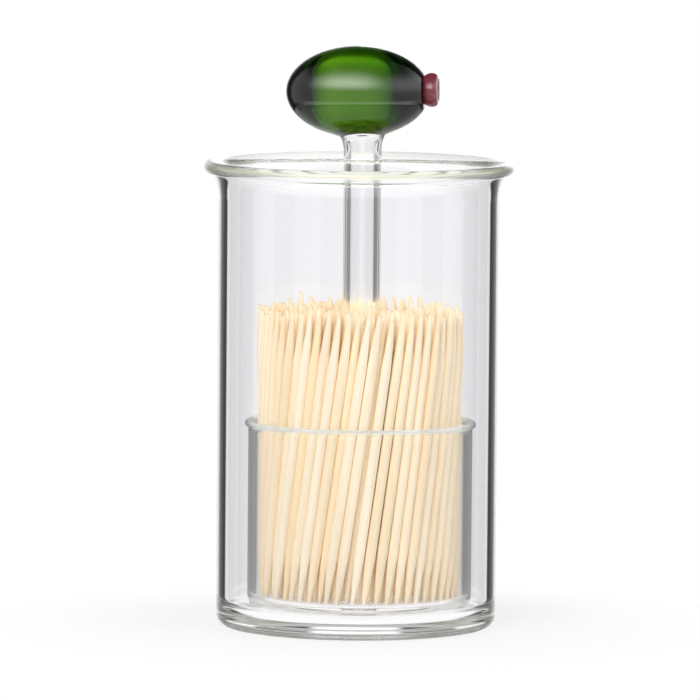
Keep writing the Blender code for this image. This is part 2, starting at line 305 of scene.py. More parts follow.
def light_world():
    """White for the eye and for plain light, a room with a soft box for outer reflections, stripes for inner."""
    world = bpy.data.worlds.new("studio")
    bpy.context.scene.world = world
    world.use_nodes = True
    tree = world.node_tree
    tree.nodes.clear()
    direction = add_node(tree, "ShaderNodeTexCoord").outputs["Generated"]
    x, y, up = add_node(tree, "ShaderNodeSeparateXYZ", {0: direction}).outputs
    down = multiply(tree, up, -1.0)
    side = math_node(tree, "ARCTAN2", x, multiply(tree, y, -1.0))
    path = add_node(tree, "ShaderNodeLightPath").outputs
    glossy, transmission, diffuse = (path[kind + " Depth"] for kind in ("Glossy", "Transmission", "Diffuse"))
    reflected = math_node(tree, "GREATER_THAN", glossy, AT_LEAST_ONCE)
    entered = math_node(tree, "GREATER_THAN", transmission, AT_LEAST_ONCE)
    clean = math_node(tree, "LESS_THAN", diffuse, AT_LEAST_ONCE)
    once = math_node(tree, "LESS_THAN", glossy, MORE_THAN_ONCE)
    deep = math_node(tree, "GREATER_THAN", transmission, DEEP_LAYERS)
    wave = math_node(tree, "COSINE", multiply(tree, side, float(STRIPES)))
    slow_wave = math_node(tree, "COSINE", multiply(tree, side, STRIPES / 2))
    table = smooth_step(tree, down, *TABLE_FALL)
    inner = inner_levels(tree, up, wave, slow_wave, once, deep, table)
    unreflected = mix_levels(tree, entered, ROOM_LEVEL, through_levels(tree, up, wave, deep, table))
    mirrored = mix_levels(tree, entered, outer_levels(tree, side, up, down), inner)
    fill = math_node(tree, "MULTIPLY_ADD", transmission, FILL_GAIN, FILL_LEVEL)
    fill = multiply(tree, fill, math_node(tree, "MULTIPLY_ADD", diffuse, AGAIN_GAIN, 1.0 - AGAIN_GAIN))
    level = mix_levels(tree, clean, fill, mix_levels(tree, reflected, unreflected, mirrored))
    seen = mix_levels(tree, path["Is Camera Ray"], level, ROOM_LEVEL)
    background = add_node(tree, "ShaderNodeBackground", {"Color": WHITE, "Strength": seen})
    add_node(tree, "ShaderNodeOutputWorld", {"Surface": background.outputs[0]})
    print("The world has", len(tree.nodes), "nodes")


# Each lamp's name, place, size in metres and power in watts.
LAMPS = (
    ("key lamp", Vector((-0.55, -0.9, 0.75)), 0.7, 9.0),
    ("fill lamp", Vector((0.8, -0.5, 0.45)), 0.6, 3.0),
)
CLEAR_BOUNCES = 64
DIFFUSE_BOUNCES = 6


def add_lamp(name, place, size, power):
    """A square area lamp that faces the middle of the holder."""
    lamp = bpy.data.lights.new(name, "AREA")
    lamp.size = size
    lamp.energy = power
    holder = bpy.data.objects.new(name, lamp)
    holder.location = place
    holder.rotation_mode = "QUATERNION"
    holder.rotation_quaternion = (CAMERA_PIVOT - place).to_track_quat("-Z", "Y")
    holder.visible_glossy = False
    holder.visible_transmission = False
    bpy.context.scene.collection.objects.link(holder)


light_world()
for lamp_values in LAMPS:
    add_lamp(*lamp_values)
bpy.context.scene.view_settings.view_transform = "Standard"
bpy.context.scene.cycles.max_bounces = CLEAR_BOUNCES
bpy.context.scene.cycles.transmission_bounces = CLEAR_BOUNCES
bpy.context.scene.cycles.glossy_bounces = CLEAR_BOUNCES
bpy.context.scene.cycles.diffuse_bounces = DIFFUSE_BOUNCES

# %% [markdown]
# Surfaces from arrays
#
# A glass blower turns everything on a lathe, so nearly every surface here is a profile turned about an axis. The
# profile is an array of (radius, height) points, and turning it is one array product. Arcs make its corners and
# beads. Points that fall together at the axis or at a seam are merged afterwards, so that the surface is closed.


# %% Turn profiles
ARC_POINTS = 16
MERGE_DISTANCE = 1e-7


def arc(centre, reach, start, end, count=ARC_POINTS):
    """Points of an elliptical arc: centre plus reach times the cosine and sine of angles from start to end."""
    angle = np.radians(np.linspace(start, end, count))
    return np.stack([centre[0] + reach[0] * np.cos(angle), centre[1] + reach[1] * np.sin(angle)], axis=1)


def path_of(*runs):
    """One profile from several runs of points."""
    return np.concatenate([np.atleast_2d(run) for run in runs])


def grid_faces(rows, columns, closed_rows=False):
    """Quads between neighbours of a grid whose columns wrap round, as an array of four indices each."""
    row = np.arange(rows if closed_rows else rows - 1)[:, None]
    column = np.arange(columns)[None, :]
    below = row * columns
    above = (row + 1) % rows * columns
    beside = (column + 1) % columns
    return np.stack([below + column, below + beside, above + beside, above + column], axis=-1).reshape(-1, 4)


def make_surface(name, points, faces):
    """A smooth mesh object at the origin from arrays of points and faces, with doubles merged."""
    mesh = bpy.data.meshes.new(name)
    mesh.from_pydata(points.reshape(-1, 3).tolist(), [], faces.tolist())
    work = bmesh.new()
    work.from_mesh(mesh)
    bmesh.ops.remove_doubles(work, verts=work.verts, dist=MERGE_DISTANCE)
    bmesh.ops.recalc_face_normals(work, faces=work.faces)
    work.to_mesh(mesh)
    work.free()
    mesh.shade_smooth()
    piece = bpy.data.objects.new(name, mesh)
    bpy.context.scene.collection.objects.link(piece)
    return piece


def turn_profile(profile, sides):
    """Points of a turned profile: radius times the cosine and sine of the angle, and the height as it is."""
    angle = np.linspace(0, 2 * np.pi, sides, endpoint=False)[None, :]
    radius = profile[:, :1]
    height = profile[:, 1:] + 0 * angle
    return np.stack([radius * np.cos(angle), radius * np.sin(angle), height], axis=-1)


print("A test arc has", len(arc((0, 0), (1, 1), 0, 90)), "points")

# %% [markdown]
# Clear glass
#
# Borosilicate glass bends light by an index of 1.47 and has no colour of its own. At the lip it is seen along its
# length, and there it looks pale yellow-green and a little milky. So the upper half of the outside of the lip is
# tinted yellow-green for the long way through the glass. All of its outside scatters a pale share of the light, and
# that share is painted light in place of the light led round inside the bead. The cup's lip band is tinted and
# scatters a pale share in the same way. Lamps are let through by a Transparent shader for shadow rays, because a
# lamp's light can't be followed through two bends, and the toothpicks inside would stay dark.

# %% Make the clear glass
GLASS_INDEX = 1.47
GLASS_SHADOW = (0.98, 0.985, 0.985, 1)
CLEAR_BODY = (0.988, 0.99, 1.0, 1)
# The lip's tint stands for the long way through the glass. Its scattered pale share is painted light.
CLEAR_LIP = (0.84, 0.88, 0.69, 1)
LIP_TINT_NEAR = 0.0323
LIP_TINT_FAR = 0.0330
LIP_TINT_LOW = 0.0020
LIP_TINT_HIGH = 0.0012
LIP_CLEAR_SHARE = 0.68
# The cup's lip band: a grey-green tint with a scattered pale share that is painted light.
CUP_LIP = (0.86, 0.87, 0.80, 1)
CUP_LIP_BAND = 0.0006
CUP_LIP_CLEAR_SHARE = 0.8
tall_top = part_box("outer_glass")[1][2]
cup_low, cup_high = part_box("inner_cup")


def glass_material(name, tint, shadow, roughness=0.0, absorb=None, density=0.0, clear_share=1.0):
    """Principled glass, with lamps let through, and colour that deepens with the way through it. The tint and the
    share that stays clear are values, or functions that wire them."""
    material = bpy.data.materials.new(name)
    material.use_nodes = True
    tree = material.node_tree
    tree.nodes.clear()
    colour = tint(tree) if callable(tint) else tint
    clear_share = clear_share(tree) if callable(clear_share) else clear_share
    look = {"Base Color": colour, "Roughness": roughness, "IOR": GLASS_INDEX, "Transmission Weight": clear_share}
    glass = add_node(tree, "ShaderNodeBsdfPrincipled", look)
    clear = add_node(tree, "ShaderNodeBsdfTransparent", {"Color": shadow})
    path = add_node(tree, "ShaderNodeLightPath")
    shaders = {0: path.outputs["Is Shadow Ray"], 1: glass.outputs[0], 2: clear.outputs[0]}
    mix = add_node(tree, "ShaderNodeMixShader", shaders)
    out = add_node(tree, "ShaderNodeOutputMaterial", {"Surface": mix.outputs[0]})
    if absorb:
        depth = add_node(tree, "ShaderNodeVolumeAbsorption", {"Color": absorb, "Density": density})
        tree.links.new(depth.outputs[0], out.inputs["Volume"])
    print("Made", name)
    return material


def lip_outside(tree):
    """0 on the body of the tall glass and 1 on the outside of its lip, by the distance from its axis."""
    flat_place = {0: object_place(tree), 1: (1.0, 1.0, 0.0)}
    flat = add_node(tree, "ShaderNodeVectorMath", flat_place, operation="MULTIPLY").outputs[0]
    distance = add_node(tree, "ShaderNodeVectorMath", {0: flat}, operation="LENGTH").outputs["Value"]
    return smooth_step(tree, distance, LIP_TINT_NEAR, LIP_TINT_FAR)


def lip_share(tree):
    """1 on the upper half of the outside of the lip, where the glass looks yellow-green, and 0 elsewhere."""
    upper = smooth_step(tree, object_height(tree), tall_top - LIP_TINT_LOW, tall_top - LIP_TINT_HIGH)
    return multiply(tree, lip_outside(tree), upper)


def cup_lip_share(tree):
    """0 on the body of the cup and 1 on its lip, by a band of height. The handle above it has 0 again."""
    cup_top = cup_high[2]
    height = object_height(tree)
    rise = smooth_step(tree, height, cup_top - 2 * CUP_LIP_BAND, cup_top - CUP_LIP_BAND)
    return multiply(tree, rise, math_node(tree, "LESS_THAN", height, cup_top + CUP_LIP_BAND))


# The lips' scattered pale share is painted light in place of light led round inside the bead.
tall_glass_finish = glass_material(
    "clear glass with a pale lip",
    lambda tree: mix_colours(tree, lip_share(tree), CLEAR_BODY, CLEAR_LIP),
    GLASS_SHADOW,
    clear_share=lambda tree: mix_levels(tree, lip_outside(tree), 1.0, LIP_CLEAR_SHARE),
)
cup_finish = glass_material(
    "clear glass",
    lambda tree: mix_colours(tree, cup_lip_share(tree), WHITE, CUP_LIP),
    GLASS_SHADOW,
    clear_share=lambda tree: mix_levels(tree, cup_lip_share(tree), 1.0, CUP_LIP_CLEAR_SHARE),
)

# %% [markdown]
# The tall glass
#
# It is a length of 60 mm tube with one end closed to a flat floor and the other opened out to a lip. Flame rounds
# the lip to a bead. The profile runs from the middle of the floor, up the inside, over the lip and down the
# outside, to a ring that stands on the table round a shallow punt.

# %% Make the tall glass
TALL_RADIUS = 0.0300
TALL_WALL = 0.0024
TALL_FLOOR = 0.0032
TALL_LIP_RADIUS = 0.03322
TALL_BEAD = 0.00135
TALL_INNER_FLARE = 0.0074
TALL_OUTER_FLARE = 0.0057
TALL_INNER_CORNER = 0.0035
TALL_OUTER_CORNER = 0.0027
TALL_RING_WIDTH = 0.0060
TALL_PUNT = 0.0008
TALL_SIDES = 192
TALL_CORNER_POINTS = 14
LIP_POINTS = 24
BEAD_END = 88


def lip_profile(inside, outside, lip_radius, bead, top, inner_flare, outer_flare):
    """A flared lip: a quarter ellipse up the inside, a half circle over the bead and a quarter ellipse down."""
    middle = lip_radius - bead
    return path_of(
        arc((middle, top - inner_flare), (middle - inside, inner_flare), 180, 90, LIP_POINTS),
        arc((middle, top - bead), (bead, bead), BEAD_END, -BEAD_END, LIP_POINTS),
        arc((middle, top - 2 * bead - outer_flare), (middle - outside, outer_flare), 90, 180, LIP_POINTS),
    )


def tall_glass_profile():
    """The tall glass from the middle of its floor, inside and out, to the middle of its foot."""
    inside = TALL_RADIUS - TALL_WALL
    inner, outer = TALL_INNER_CORNER, TALL_OUTER_CORNER
    foot = TALL_RADIUS - outer - TALL_RING_WIDTH
    return path_of(
        (0, TALL_FLOOR),
        arc((inside - inner, TALL_FLOOR + inner), (inner, inner), -90, 0, TALL_CORNER_POINTS),
        lip_profile(inside, TALL_RADIUS, TALL_LIP_RADIUS, TALL_BEAD, tall_top, TALL_INNER_FLARE, TALL_OUTER_FLARE),
        arc((TALL_RADIUS - outer, outer), (outer, outer), 0, -90, TALL_CORNER_POINTS),
        arc((0, 0), (foot, TALL_PUNT), 0, 90),
    )


def make_tall_glass():
    """Turns the tall glass and puts it on its body."""
    profile = tall_glass_profile()
    points = turn_profile(profile, TALL_SIDES)
    piece = make_surface("tall_glass", points, grid_faces(len(profile), TALL_SIDES))
    piece.data.materials.append(tall_glass_finish)
    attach(piece, "glass")
    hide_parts("outer_glass")
    print("tall_glass has", len(piece.data.polygons), "faces")


make_tall_glass()

# %% [markdown]
# The olive's place
#
# The olive lies almost level on its tube, a little to the left of it, with its stud turned six degrees towards
# the camera. Its own frame has Z along the olive towards the stud. Its surface is an ellipsoid, so where a line
# meets it is the root of a quadratic. That gives both the points of the surface and the height of its underside,
# which the top of the tube is drawn up to.

# %% Place the olive
OLIVE_HALF_LENGTH = 0.01545
OLIVE_RADIUS = 0.00977
OLIVE_CUT = 0.0012
OLIVE_HEIGHT = 0.1149
OLIVE_ASIDE = 0.0011
OLIVE_TURN = math.radians(-6)
OLIVE_TILT = math.radians(0.6)
CUP_ASIDE = 0.0007
FUSED_GAP = 0.00005
olive_place = (
    Matrix.Translation((CUP_ASIDE - OLIVE_ASIDE, 0, OLIVE_HEIGHT))
    @ Matrix.Rotation(OLIVE_TURN, 4, "Z")
    @ Matrix.Rotation(math.radians(90) - OLIVE_TILT, 4, "Y")
)
tube_axis_in_olive = np.array((CUP_ASIDE, 0, OLIVE_HEIGHT))


def placed(points, matrix):
    """Points moved by a matrix."""
    return points @ np.array(matrix.to_3x3()).T + np.array(matrix.translation)


def olive_reach(start, way):
    """How far it is from a start inside the ellipsoid to its surface, along a way: the larger root of the
    quadratic that puts the point, divided by the three half axes, on the unit sphere."""
    turn = np.array(olive_place.to_3x3())
    half = np.array((OLIVE_RADIUS, OLIVE_RADIUS, OLIVE_HALF_LENGTH))
    at = (start - np.array(olive_place.translation)) @ turn / half
    along = way @ turn / half
    square = (along**2).sum(axis=-1)
    cross = (along * at).sum(axis=-1)
    rest = (at**2).sum(axis=-1) - 1
    return (np.sqrt(np.maximum(cross**2 - square * rest, 0)) - cross) / square


def olive_underside(x, y):
    """Height of the olive's underside over each point, by the way straight down from the olive's middle plane."""
    start = np.stack([x, y, 0 * x + OLIVE_HEIGHT], axis=-1)
    return OLIVE_HEIGHT - olive_reach(start, np.array((0.0, 0.0, -1.0)))


print("The olive's underside is", round(float(olive_underside(np.array(CUP_ASIDE), np.array(0.0))), 5), "m up")

# %% [markdown]
# The cup and its handle
#
# The cup is 48 mm tube closed to a floor, and an 8 mm tube is sealed into the floor, so cup and handle are one
# piece of glass. One profile goes all the way round it: up the tube, over its flared top, down the bore, out under
# the floor, up the cup's wall, over the small lip and down inside. Two turned solids that only touch would show a
# seam in the glass where the real one has none. The top of the tube is stretched or pressed to end just under the
# olive all round, because the olive's underside isn't level.

# %% Make the cup and handle
CUP_RADIUS = 0.02405
CUP_WALL = 0.0018
CUP_FLOOR = 0.0028
CUP_LIP_RADIUS = 0.0248
CUP_BEAD = 0.00065
CUP_INNER_FLARE = 0.0022
CUP_OUTER_FLARE = 0.0006
CUP_INNER_CORNER = 0.0015
CUP_OUTER_CORNER = 0.0035
TUBE_RADIUS = 0.0040
TUBE_BORE = 0.0025
TUBE_FOOT = 0.0019
TUBE_FOOT_RISE = 0.0018
TUBE_TOP_RADIUS = 0.0049
TUBE_TOP_BORE = 0.0031
TUBE_FLARE_HEIGHT = 0.0046
TUBE_NOMINAL_TOP = 0.1052
SKIRT_DROP = 0.0002
CUP_SIDES = 160
CUP_CORNER_POINTS = 12
TUBE_FLARE_POINTS = 14


def cup_profile():
    """The cup and its handle as one closed profile, from the foot of the tube round to the cup's floor."""
    base = cup_low[2]
    floor = base + CUP_FLOOR
    inside = CUP_RADIUS - CUP_WALL
    inner, outer = CUP_INNER_CORNER, CUP_OUTER_CORNER
    foot = TUBE_RADIUS + TUBE_FOOT
    flare = TUBE_TOP_RADIUS - TUBE_RADIUS
    bore_flare = TUBE_TOP_BORE - TUBE_BORE
    flare_base = TUBE_NOMINAL_TOP - TUBE_FLARE_HEIGHT
    mouth = foot - CUP_WALL / 2
    lip = lip_profile(inside, CUP_RADIUS, CUP_LIP_RADIUS, CUP_BEAD, cup_high[2], CUP_INNER_FLARE, CUP_OUTER_FLARE)
    return path_of(
        arc((foot, floor + TUBE_FOOT_RISE), (TUBE_FOOT, TUBE_FOOT_RISE), 270, 180, CUP_CORNER_POINTS),
        arc((TUBE_TOP_RADIUS, flare_base), (flare, TUBE_FLARE_HEIGHT), 180, 90, TUBE_FLARE_POINTS),
        arc((TUBE_TOP_BORE, flare_base), (bore_flare, TUBE_FLARE_HEIGHT), 90, 180, TUBE_FLARE_POINTS),
        arc((mouth, base + TUBE_FOOT_RISE), (mouth - TUBE_BORE, TUBE_FOOT_RISE), 180, 270, CUP_CORNER_POINTS),
        arc((CUP_RADIUS - outer, base + outer), (outer, outer), -90, 0),
        lip[::-1],
        arc((inside - inner, floor + inner), (inner, inner), 0, -90, CUP_CORNER_POINTS),
    )


def make_cup():
    """Turns the cup with its handle about its own axis, draws the tube's top to the olive and puts the piece on its
    body.
    """
    profile = cup_profile()
    points = turn_profile(profile, CUP_SIDES) + np.array([CUP_ASIDE, 0, 0])
    flare_base = TUBE_NOMINAL_TOP - TUBE_FLARE_HEIGHT
    end = olive_underside(points[..., 0], points[..., 1]) - SKIRT_DROP - FUSED_GAP
    stretch = (end - flare_base) / TUBE_FLARE_HEIGHT
    drawn = flare_base + (points[..., 2] - flare_base) * stretch
    points[..., 2] = np.where(points[..., 2] > flare_base, drawn, points[..., 2])
    piece = make_surface("cup_and_handle", points, grid_faces(len(profile), CUP_SIDES, closed_rows=True))
    piece.data.materials.append(cup_finish)
    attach(piece, "cup")
    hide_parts("inner_cup", "handle_tube")
    print("cup_and_handle has", len(piece.data.polygons), "faces")


make_cup()

# %% [markdown]
# The olive
#
# It is a gather of green glass on the end of the tube, blown to a bubble. The bubble doesn't reach the ends, so
# those are thick and dark, while the middle, with two thin walls, is bright green. That comes by itself from glass
# whose colour deepens with the way through it. The surface is worked out in rings round the tube's axis and not
# round the olive's own, because the green glass is drawn down into a short skirt where it meets the tube, and
# rings round the tube can follow that. The bubble is a second closed surface inside the first, turned inside out.

# %% Make the olive
OLIVE_RINGS = 120
OLIVE_SIDES = 160
SKIRT_RADIUS = 0.0049
SKIRT_REACH = 0.0073
BUBBLE_HALF_LENGTH = 0.0099
BUBBLE_RADIUS = 0.0076
BUBBLE_POWER = 2.6
BUBBLE_SET_BACK = 0.0007
BUBBLE_RINGS = 72
BUBBLE_SIDES = 128
GREEN_SHADOW = (0.35, 0.7, 0.2, 1)
GREEN_ABSORB = (0.52, 0.705, 0.0, 1)
GREEN_DENSITY = 1300.0
LEAST_SLOPE = 1e-9


def olive_points():
    """The olive's outer surface: from a point on the tube's axis, each way goes on to the ellipsoid or to the
    flat that carries the stud, whichever comes first. Near the tube the underside is drawn down."""
    polar = np.linspace(0, np.pi, OLIVE_RINGS)[:, None]
    around = np.linspace(0, 2 * np.pi, OLIVE_SIDES, endpoint=False)[None, :]
    up = -np.cos(polar) + 0 * around
    way = np.stack([np.sin(polar) * np.cos(around), np.sin(polar) * np.sin(around), up], axis=-1)
    axis = np.array(olive_place.to_3x3())[:, 2]
    behind = OLIVE_HALF_LENGTH - OLIVE_CUT - (tube_axis_in_olive - np.array(olive_place.translation)) @ axis
    towards = np.maximum(way @ axis, LEAST_SLOPE)
    reach = np.minimum(olive_reach(tube_axis_in_olive, way), behind / towards)
    points = tube_axis_in_olive + way * reach[..., None]
    from_tube = np.hypot(points[..., 0] - CUP_ASIDE, points[..., 1])
    share = np.clip((SKIRT_REACH - from_tube) / (SKIRT_REACH - SKIRT_RADIUS), 0, 1)
    points[..., 2] -= np.where(up < 0, SKIRT_DROP * share**2, 0)
    return points


def bubble_points():
    """The bubble, turned about the olive's axis and set back from the stud. It is an ellipsoid with blunt ends: the
    power of the sines and cosines of its profile is less than one."""
    turn = np.linspace(0, np.pi, BUBBLE_RINGS)
    power = 2 / BUBBLE_POWER
    radius = BUBBLE_RADIUS * np.sin(turn) ** power
    along = BUBBLE_HALF_LENGTH * np.sign(np.cos(turn)) * np.abs(np.cos(turn)) ** power - BUBBLE_SET_BACK
    return placed(turn_profile(np.stack([radius, along], axis=1), BUBBLE_SIDES), olive_place)


def make_olive(finish):
    """The olive with its bubble, as one piece of two closed surfaces."""
    piece = make_surface("green_olive", olive_points(), grid_faces(OLIVE_RINGS, OLIVE_SIDES))
    bubble = make_surface("bubble", bubble_points(), grid_faces(BUBBLE_RINGS, BUBBLE_SIDES))
    work = bmesh.new()
    work.from_mesh(bubble.data)
    bmesh.ops.reverse_faces(work, faces=work.faces)
    work.from_mesh(piece.data)
    work.to_mesh(piece.data)
    work.free()
    bpy.data.objects.remove(bubble)
    piece.data.materials.append(finish)
    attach(piece, "cup")
    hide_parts("olive")
    print("green_olive has", len(piece.data.polygons), "faces")


green_finish = glass_material("green glass", WHITE, GREEN_SHADOW, absorb=GREEN_ABSORB, density=GREEN_DENSITY)
make_olive(green_finish)

# %% [markdown]
# The red stud
#
# A drop of red glass pressed on the olive's end stands for its stuffing. It is turned about the olive's axis, and
# sits a little above it: a barrel with a round edge and a hollow face. The glass is half milky. Its face is painted
# pale: a painted reflection of light on the hollow face.

# %% Make the stud
STUD_RADIUS = 0.00367
STUD_BACK_RADIUS = 0.0031
STUD_LENGTH = 0.0030
STUD_RISE = 0.0004
STUD_BULGE_SHARE = 0.55
STUD_ROUND = 0.0012
STUD_DIMPLE = 0.0008
STUD_SIDES = 96
STUD_EDGE = (85, 5)
STUD_EDGE_POINTS = 12
RED_SHADOW = (0.7, 0.3, 0.35, 1)
RED_SURFACE = (0.22, 0.035, 0.055, 1)
# The pale colour of the face is a painted reflection, not the glass's own colour.
RED_FACE_PAINTED_REFLECTION = (0.75, 0.62, 0.66, 1)
RED_FACE_PAINTED_REFLECTION_DEPTH = 0.00014
RED_ROUGHNESS = 0.06
RED_CLEAR_SHARE = 0.5


def stud_colour_and_painted_reflection(tree):
    """Raspberry, and pale on the face, which is a painted reflection, by the distance along the olive's axis."""
    axis = olive_place.to_3x3().col[2]
    places = {0: object_place(tree), 1: axis}
    along = add_node(tree, "ShaderNodeVectorMath", places, operation="DOT_PRODUCT").outputs["Value"]
    face = axis.dot(olive_place.translation) + OLIVE_HALF_LENGTH - OLIVE_CUT + FUSED_GAP + STUD_LENGTH
    # Painted reflection: the face is mixed to pale.
    share = smooth_step(tree, along, face - 2 * RED_FACE_PAINTED_REFLECTION_DEPTH, face - RED_FACE_PAINTED_REFLECTION_DEPTH)
    return mix_colours(tree, share, RED_SURFACE, RED_FACE_PAINTED_REFLECTION)


def stud_profile():
    """The stud from the middle of its hollow face, over its edge and along its bulge to its back. The bulge is a
    parabola: the largest radius less what the square of the way from there takes off."""
    back = OLIVE_HALF_LENGTH - OLIVE_CUT + FUSED_GAP
    front = back + STUD_LENGTH
    edge_share = 1 - STUD_ROUND / STUD_LENGTH
    share = np.linspace(edge_share, 0, ARC_POINTS)
    slimming = (STUD_RADIUS - STUD_BACK_RADIUS) / STUD_BULGE_SHARE**2
    radius = STUD_RADIUS - slimming * (share - STUD_BULGE_SHARE) ** 2
    flat = radius[0] - STUD_ROUND
    return path_of(
        arc((0, front), (flat, STUD_DIMPLE), -90, 0),
        arc((flat, front - STUD_ROUND), (STUD_ROUND, STUD_ROUND), *STUD_EDGE, STUD_EDGE_POINTS),
        np.stack([radius, back + STUD_LENGTH * share], axis=1),
        (0, back),
    )


def make_stud(finish):
    """Turns the stud about the olive's axis, raises it and puts it on its body."""
    profile = stud_profile()
    points = placed(turn_profile(profile, STUD_SIDES), olive_place) + (0, 0, STUD_RISE)
    piece = make_surface("red_stud", points, grid_faces(len(profile), STUD_SIDES))
    piece.data.materials.append(finish)
    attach(piece, "cup")
    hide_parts("pimento_stud")
    print("red_stud has", len(piece.data.polygons), "faces")


red_finish = glass_material("red glass", stud_colour_and_painted_reflection, RED_SHADOW, RED_ROUGHNESS, clear_share=RED_CLEAR_SHARE)
make_stud(red_finish)

# %% [markdown]
# How the toothpicks stand
#
# About three hundred toothpicks were dropped in by the handful. They stand close, each touching its neighbours. The
# outermost ones line up along the cup's wall, and the whole bundle has a slight twist, so the front ones lean to
# the right. So they start as rings with a twist, shaken more the further in they are, and are then pushed apart
# until none overlap, at seven heights at once. A toothpick is a straight line, so a push at some height moves its
# foot and its top by the shares that the height gives. The seven that can be pulled out stay where their solids are.

# %% Stand the toothpicks
DRAW_SEED = 11
PICK_RADIUS = 0.00107
RING_STEP = 0.00212
RING_SPACING = 0.00221
BUNDLE_TWIST = math.radians(24)
BUNDLE_ROUNDS = 220
BUNDLE_HEIGHTS = np.linspace(0, 1, 7)
FOOT_ASIDE = 0.00035
TOP_ASIDE = -0.00055
TOP_SPREAD = 0.0004
OUTER_JITTER = 0.00012
INNER_JITTER = 0.00075
SHAKE_DEPTH = 0.35
PICK_CLEARANCE = 0.00002
WALL_CLEARANCE = 0.00005
RING_CLEARANCE = 0.0001
HANDLE_CLEARANCE = 0.0002
CUP_SHARE = 0.62
PUSH_STEP = 0.45
rng = np.random.default_rng(DRAW_SEED)
loose_joints = [joint for joint in frame["joints"] if joint["name"].startswith("pick")]


def node_ends(node):
    """The two pointed ends of a toothpick's solid: its lowest and its highest point."""
    mesh = frame["nodes"][node].data
    points = np.empty(len(mesh.vertices) * 3)
    mesh.vertices.foreach_get("co", points)
    points = points.reshape(-1, 3)
    return points[points[:, 2].argmin()], points[points[:, 2].argmax()]


loose_nodes = [joint["name"].removesuffix("_pull") for joint in loose_joints]
loose_ends = np.array([node_ends(node) for node in loose_nodes])
pick_foot_height = float(loose_ends[0, 0, 2])
pick_height = float((loose_ends[:, 1, 2] - loose_ends[:, 0, 2]).mean())
cup_inside = CUP_RADIUS - CUP_WALL
print(len(loose_nodes), "loose toothpicks,", round(pick_height * 1000, 1), "mm tall")


def push_apart(feet, tops, fixed):
    """Pushes overlapping lines apart. At each height, two lines closer than a toothpick's thickness move apart by
    half of what is missing, and a line past the cup's wall or inside the handle moves back. Above the cup, the
    bundle may spread a little."""
    least = 2 * PICK_RADIUS + PICK_CLEARANCE
    wall = cup_inside - PICK_RADIUS - WALL_CLEARANCE
    handle = TUBE_RADIUS + PICK_RADIUS + HANDLE_CLEARANCE
    for _ in range(BUNDLE_ROUNDS):
        foot_push = np.zeros_like(feet)
        top_push = np.zeros_like(tops)
        for share in BUNDLE_HEIGHTS:
            here = (1 - share) * feet + share * tops
            apart = here[:, None, :] - here[None, :, :]
            distance = np.hypot(apart[..., 0], apart[..., 1]) + np.eye(len(here))
            missing = np.clip(least - distance, 0, None) * (1 - np.eye(len(here)))
            push = (apart / distance[..., None] * missing[..., None]).sum(axis=1) / 2
            radius = np.hypot(here[:, 0], here[:, 1])
            outward = here / radius[:, None]
            limit = wall + max(share - CUP_SHARE, 0) * TOP_SPREAD / (1 - CUP_SHARE)
            push -= outward * np.clip(radius - limit, 0, None)[:, None]
            push += outward * np.clip(handle - radius, 0, None)[:, None]
            foot_push += push * (1 - share)
            top_push += push * share
        feet[~fixed] += foot_push[~fixed] * PUSH_STEP
        tops[~fixed] += top_push[~fixed] * PUSH_STEP
    return feet, tops


def ring_places():
    """Angle and radius of every place in the rings, from the cup's wall in to the handle."""
    radii = np.arange(cup_inside - PICK_RADIUS - RING_CLEARANCE, TUBE_RADIUS + PICK_RADIUS, -RING_STEP)
    counts = (2 * np.pi * radii / RING_SPACING).astype(int)
    angles = [np.arange(count) / count * 2 * np.pi + rng.uniform(0, 2 * np.pi) for count in counts]
    return np.concatenate(angles), np.repeat(radii, counts)


def stand_toothpicks():
    """Feet and tops of all the toothpicks about the handle's axis, the loose ones first. A place in the rings that
    a loose toothpick already has stays free."""
    angle, radius = ring_places()
    depth = 1 - radius / cup_inside
    shake = (OUTER_JITTER + (INNER_JITTER - OUTER_JITTER) * np.clip(depth / SHAKE_DEPTH, 0, 1))[:, None]
    feet = np.stack([radius * np.cos(angle), radius * np.sin(angle)], axis=1)
    turned = angle + BUNDLE_TWIST
    tops = np.stack([radius * np.cos(turned), radius * np.sin(turned)], axis=1)
    feet += rng.normal(0, 1, feet.shape) * shake + (FOOT_ASIDE, 0)
    tops += rng.normal(0, 1, tops.shape) * shake + (TOP_ASIDE, 0)
    aside = np.array([CUP_ASIDE, 0])
    loose_feet = loose_ends[:, 0, :2] - aside
    loose_tops = loose_ends[:, 1, :2] - aside
    middle = (feet + tops) / 2
    gap = np.linalg.norm(middle[:, None] - (loose_feet + loose_tops)[None] / 2, axis=2).min(axis=1)
    free = gap > PICK_RADIUS
    feet = np.concatenate([loose_feet, feet[free]])
    tops = np.concatenate([loose_tops, tops[free]])
    fixed = np.arange(len(feet)) < len(loose_nodes)
    feet, tops = push_apart(feet, tops, fixed)
    return feet + aside, tops + aside


pick_feet, pick_tops = stand_toothpicks()
print("Stood", len(pick_feet), "toothpicks, reach", round(float(np.hypot(*pick_feet.T).max()) * 1000, 2), "mm")

# %% [markdown]
# Pale wood
#
# Birch toothpicks are cream, and no two are quite alike: many are paler and a few are yellower. The grain runs along
# each one in fine tan streaks. Every toothpick stores its own tone and its own coordinates along and across the
# grain as attributes, because Object coordinates would run the grain upright through all of them.

# %% Make the wood
WOOD_CREAM = (0.94, 0.79, 0.55)
WOOD_PALE = (0.95, 0.85, 0.67)
WOOD_YELLOW = (0.93, 0.75, 0.46)
WOOD_TAN = (0.88, 0.61, 0.36)
GRAIN_SCALE = 900.0
GRAIN_STRETCH = 0.03
GRAIN_DEPTH = 0.00003
GRAIN_NOISE = {"Scale": 1.0, "Detail": 3.0, "Roughness": 0.6}
GRAIN_SHARES = (0.5, 0.8)
GRAIN_SHADE = 0.45
GRAIN_BUMP = 0.35
WOOD_TONES = ((0.0, WOOD_PALE), (0.45, WOOD_CREAM), (0.85, WOOD_CREAM), (1.0, WOOD_YELLOW))
WOOD_ROUGHNESS = 0.62
WOOD_SPECULAR = 0.3


